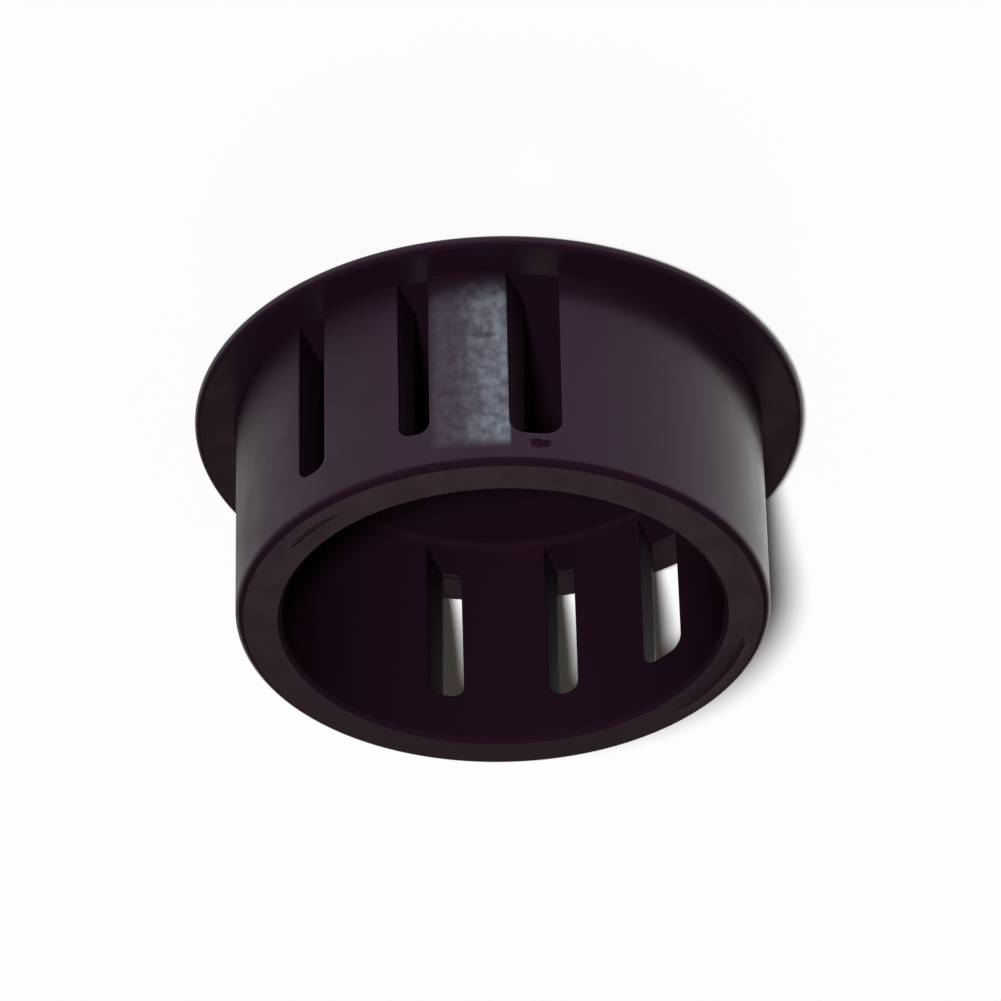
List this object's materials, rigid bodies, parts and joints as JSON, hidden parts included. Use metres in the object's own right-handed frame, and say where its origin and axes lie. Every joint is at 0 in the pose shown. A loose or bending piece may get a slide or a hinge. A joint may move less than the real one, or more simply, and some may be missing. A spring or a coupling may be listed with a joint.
{
  "type": "wiper arm cap",
  "caption": "Round push-in plastic cap for a wiper arm: thin flange with a curved outer face and a hollow slotted skirt that presses into the hole over the arm's nut.",
  "frame": {"origin": "middle of the flat outer face that the cap lies on", "axes": "+Z along the skirt's axis, from the outer face to the open rim; +Y along the slots; the wide slot is on the -X side"},
  "size_m": [0.022, 0.022, 0.0097],
  "materials": {
    "moulded_black_plastic": "satin, as moulded"
  },
  "bodies": {
    "root": {"cap_body": "moulded_black_plastic"}
  },
  "joints": []
}
